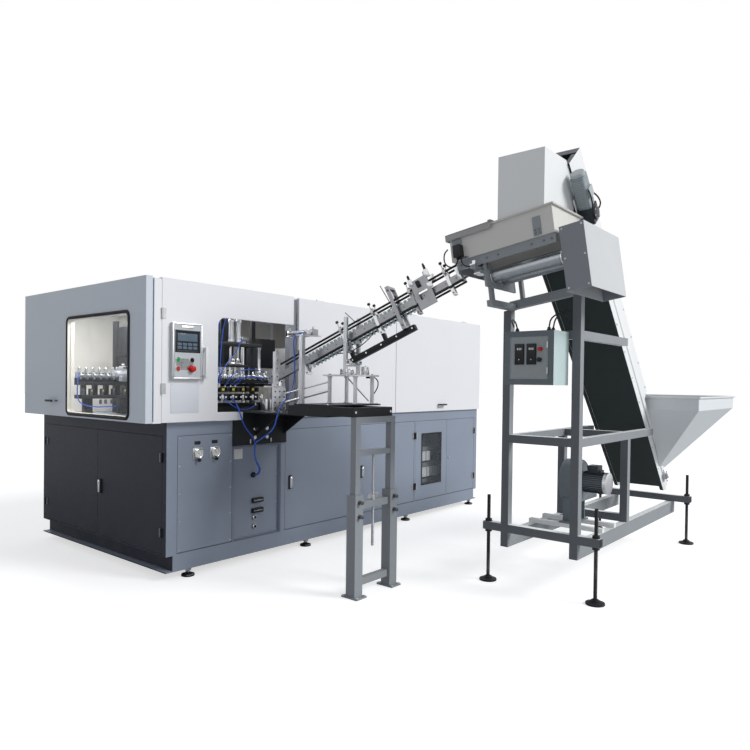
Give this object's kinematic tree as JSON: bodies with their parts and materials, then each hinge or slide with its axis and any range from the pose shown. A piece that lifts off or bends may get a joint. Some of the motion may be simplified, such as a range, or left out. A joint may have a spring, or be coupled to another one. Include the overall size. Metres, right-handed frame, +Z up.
{
  "type": "blow moulding machine",
  "caption": "Linear stretch blow moulding machine: long cabinet with a glazed hood, preform feeder with hopper, elevator, roller trough and sloping infeed rail.",
  "frame": {"origin": "centre of the front left levelling foot, on the floor", "axes": "+X along the cabinet's front to the right, +Y from the front to the back, +Z up"},
  "size_m": [4.515, 4.494, 2.9022],
  "materials": {
    "cabinet_grey": "satin powder coat, slate grey",
    "hood_grey": "satin powder coat, very light grey",
    "black_metal": "satin black paint",
    "feeder_grey": "satin paint, light grey",
    "motor_grey": "semi-gloss paint",
    "steel": "brushed",
    "aluminium": "satin anodised",
    "rubber_belt": "matt",
    "black_plastic": "matt",
    "red_plastic": "glossy",
    "green_plastic": "glossy",
    "preform_clear": "clear moulded plastic, slightly milky",
    "hose_blue": "glossy pneumatic tube"
  },
  "bodies": {
    "machine": {"plinth": "black_metal", "cabinet_frame": "cabinet_grey", "cabinet_panels": "cabinet_grey", "front_fittings": "steel", "switchgear": "motor_grey", "hood_shell": "hood_grey", "clamp_frame": "steel", "heating_line": "steel", "infeed_bridge": "black_metal", "infeed_table": "aluminium", "infeed_rail": "steel", "preforms": "preform_clear", "supply_hose": "hose_blue", "infeed_hose": "hose_blue", "sensor_cable": "black_plastic", "stand_outer_frame": "black_metal", "feeder_frame": "feeder_grey", "feeder_feet": "black_metal", "trough": "feeder_grey", "trough_carriage": "feeder_grey", "gear_housing": "feeder_grey", "chute_hood": "feeder_grey", "elevator_frame": "feeder_grey", "elevator_belt": "rubber_belt", "hopper": "feeder_grey", "blower": "motor_grey", "feeder_box": "feeder_grey"},
    "end_door_front_body": {"end_door_front": "cabinet_grey"},
    "end_door_handle_body": {"end_door_handle": "black_plastic"},
    "end_door_rear_body": {"end_door_rear": "cabinet_grey"},
    "air_door_body": {"air_door": "cabinet_grey"},
    "air_door_handle_body": {"air_door_handle": "black_plastic"},
    "valve_door_body": {"valve_door": "cabinet_grey"},
    "valve_door_handle_body": {"valve_door_handle": "black_plastic"},
    "switchgear_door_left_body": {"switchgear_door_left": "cabinet_grey"},
    "switchgear_door_right_body": {"switchgear_door_right": "cabinet_grey"},
    "end_flap_body": {"end_flap": "hood_grey"},
    "control_door_body": {"control_door": "hood_grey", "operator_panel": "feeder_grey"},
    "start_button_body": {"start_button": "green_plastic"},
    "stop_button_body": {"stop_button": "red_plastic"},
    "mode_selector_body": {"mode_selector": "black_plastic"},
    "emergency_stop_body": {"emergency_stop": "red_plastic"},
    "middle_flap_body": {"middle_flap": "hood_grey"},
    "right_flap_body": {"right_flap": "hood_grey"},
    "platen_front_body": {"platen_front": "aluminium"},
    "platen_rear_body": {"platen_rear": "aluminium"},
    "stretch_head_body": {"stretch_head": "steel"},
    "gripper_beam_body": {"gripper_beam": "aluminium"},
    "stop_plunger_body": {"stop_plunger": "steel"},
    "stand_inner_frame_body": {"stand_inner_frame": "steel"},
    "stand_wing_nut_body": {"stand_wing_nut": "aluminium"},
    "roller_left_body": {"roller_left": "steel"},
    "roller_right_body": {"roller_right": "steel"},
    "head_pulley_body": {"head_pulley": "steel"},
    "tail_pulley_body": {"tail_pulley": "steel"},
    "blower_impeller_body": {"blower_impeller": "steel"},
    "feeder_box_door_body": {"feeder_box_door": "feeder_grey"},
    "box_button_body": {"box_button": "red_plastic"},
    "box_knob_body": {"box_knob": "black_plastic"}
  },
  "joints": [
    {"name": "end_door_front_hinge", "type": "hinge", "parent": "machine", "child": "end_door_front_body", "pos_m": [-0.2073, 0.0115, 0.6], "axis": [0, 0, 1], "range_deg": [0, 90]},
    {"name": "end_door_rear_hinge", "type": "hinge", "parent": "machine", "child": "end_door_rear_body", "pos_m": [-0.2073, 1.7985, 0.6], "axis": [0, 0, -1], "range_deg": [0, 90]},
    {"name": "end_door_handle_turn", "type": "hinge", "parent": "end_door_front_body", "child": "end_door_handle_body", "pos_m": [-0.2, 0.853, 0.578], "axis": [1, 0, 0], "range_deg": [0, 90]},
    {"name": "air_door_hinge", "type": "hinge", "parent": "machine", "child": "air_door_body", "pos_m": [1.6565, -0.0473, 0.6], "axis": [0, 0, 1], "range_deg": [0, 90]},
    {"name": "air_door_handle_turn", "type": "hinge", "parent": "air_door_body", "child": "air_door_handle_body", "pos_m": [0.912, -0.04, 0.578], "axis": [0, 1, 0], "range_deg": [0, 90]},
    {"name": "valve_door_hinge", "type": "hinge", "parent": "machine", "child": "valve_door_body", "pos_m": [2.5765, -0.0473, 0.6], "axis": [0, 0, 1], "range_deg": [0, 90]},
    {"name": "valve_door_handle_turn", "type": "hinge", "parent": "valve_door_body", "child": "valve_door_handle_body", "pos_m": [1.782, -0.04, 0.578], "axis": [0, 1, 0], "range_deg": [0, 90]},
    {"name": "switchgear_door_left_hinge", "type": "hinge", "parent": "machine", "child": "switchgear_door_left_body", "pos_m": [2.5975, -0.0473, 0.6], "axis": [0, 0, -1], "range_deg": [0, 90]},
    {"name": "switchgear_door_right_hinge", "type": "hinge", "parent": "machine", "child": "switchgear_door_right_body", "pos_m": [3.7075, -0.0473, 0.6], "axis": [0, 0, 1], "range_deg": [0, 90]},
    {"name": "control_door_hinge", "type": "hinge", "parent": "machine", "child": "control_door_body", "pos_m": [-0.2715, -0.0973, 1.5], "axis": [0, 0, -1], "range_deg": [0, 85]},
    {"name": "end_flap_hinge", "type": "hinge", "parent": "machine", "child": "end_flap_body", "pos_m": [-0.336, 0.86, 2.0573], "axis": [0, 1, 0], "range_deg": [0, 80]},
    {"name": "middle_flap_hinge", "type": "hinge", "parent": "machine", "child": "middle_flap_body", "pos_m": [1.6, -0.035, 2.0573], "axis": [-1, 0, 0], "range_deg": [0, 80]},
    {"name": "right_flap_hinge", "type": "hinge", "parent": "machine", "child": "right_flap_body", "pos_m": [3, -0.035, 2.0573], "axis": [-1, 0, 0], "range_deg": [0, 80]},
    {"name": "start_button_press", "type": "slide", "parent": "control_door_body", "child": "start_button_body", "axis": [0, 1, 0], "range_m": [0, 0.004], "stiffness_N_per_m": 500},
    {"name": "stop_button_press", "type": "slide", "parent": "control_door_body", "child": "stop_button_body", "axis": [0, 1, 0], "range_m": [0, 0.004], "stiffness_N_per_m": 500},
    {"name": "emergency_stop_press", "type": "slide", "parent": "control_door_body", "child": "emergency_stop_body", "axis": [0, 1, 0], "range_m": [0, 0.004], "stiffness_N_per_m": 500},
    {"name": "mode_selector_turn", "type": "hinge", "parent": "control_door_body", "child": "mode_selector_body", "pos_m": [-0.064, -0.04, 1.509], "axis": [0, 1, 0], "range_deg": [-45, 45]},
    {"name": "platen_front_slide", "type": "slide", "parent": "machine", "child": "platen_front_body", "axis": [0, 1, 0], "range_m": [0, 0.0995]},
    {"name": "platen_rear_slide", "type": "slide", "parent": "machine", "child": "platen_rear_body", "axis": [0, -1, 0], "range_m": [0, 0.0995]},
    {"name": "stretch_head_slide", "type": "slide", "parent": "machine", "child": "stretch_head_body", "axis": [0, 0, -1], "range_m": [0, 0.12]},
    {"name": "gripper_beam_shift", "type": "slide", "parent": "machine", "child": "gripper_beam_body", "axis": [1, 0, 0], "range_m": [0, 0.304]},
    {"name": "stop_plunger_slide", "type": "slide", "parent": "machine", "child": "stop_plunger_body", "axis": [0, 1, 0], "range_m": [0, 0.04]},
    {"name": "stand_height", "type": "slide", "parent": "machine", "child": "stand_inner_frame_body", "axis": [0, 0, 1], "range_m": [-0.06, 0]},
    {"name": "stand_nut_turn", "type": "hinge", "parent": "machine", "child": "stand_wing_nut_body", "pos_m": [0.604, -1.187, 0.62], "axis": [0, 0, 1], "range_deg": [-5401, 0]},
    {"name": "roller_left_spin", "type": "hinge", "parent": "machine", "child": "roller_left_body", "pos_m": [1.014, -2.0678, 2.0957], "axis": [0, 0.989, -0.1478], "continuous": true},
    {"name": "roller_right_spin", "type": "hinge", "parent": "machine", "child": "roller_right_body", "pos_m": [1.126, -2.0678, 2.0957], "axis": [0, 0.989, -0.1478], "continuous": true},
    {"name": "head_pulley_spin", "type": "hinge", "parent": "machine", "child": "head_pulley_body", "pos_m": [1.3782, -2.025, 2.6984], "axis": [0, 1, 0], "continuous": true},
    {"name": "tail_pulley_spin", "type": "hinge", "parent": "machine", "child": "tail_pulley_body", "pos_m": [3.2926, -2.025, 0.5871], "axis": [0, 1, 0], "continuous": true},
    {"name": "blower_impeller_spin", "type": "hinge", "parent": "machine", "child": "blower_impeller_body", "pos_m": [1.85, -2.08, 0.685], "axis": [0, 1, 0], "continuous": true},
    {"name": "feeder_box_door_hinge", "type": "hinge", "parent": "machine", "child": "feeder_box_door_body", "pos_m": [1.0797, -2.1796, 1.55], "axis": [0, 0, 1], "range_deg": [0, 90]},
    {"name": "box_button_press", "type": "slide", "parent": "feeder_box_door_body", "child": "box_button_body", "axis": [1, 0, 0], "range_m": [0, 0.004], "stiffness_N_per_m": 500},
    {"name": "box_knob_turn", "type": "hinge", "parent": "feeder_box_door_body", "child": "box_knob_body", "pos_m": [1.085, -2.1252, 1.5282], "axis": [1, 0, 0], "range_deg": [-45, 45]}
  ],
  "couplings": [
    {"joint": "platen_rear_slide", "follows": "platen_front_slide", "ratio": 1},
    {"joint": "stand_nut_turn", "follows": "stand_height", "rad_per_m": 1570.8},
    {"joint": "roller_right_spin", "follows": "roller_left_spin", "ratio": -1},
    {"joint": "tail_pulley_spin", "follows": "head_pulley_spin", "ratio": 1}
  ]
}
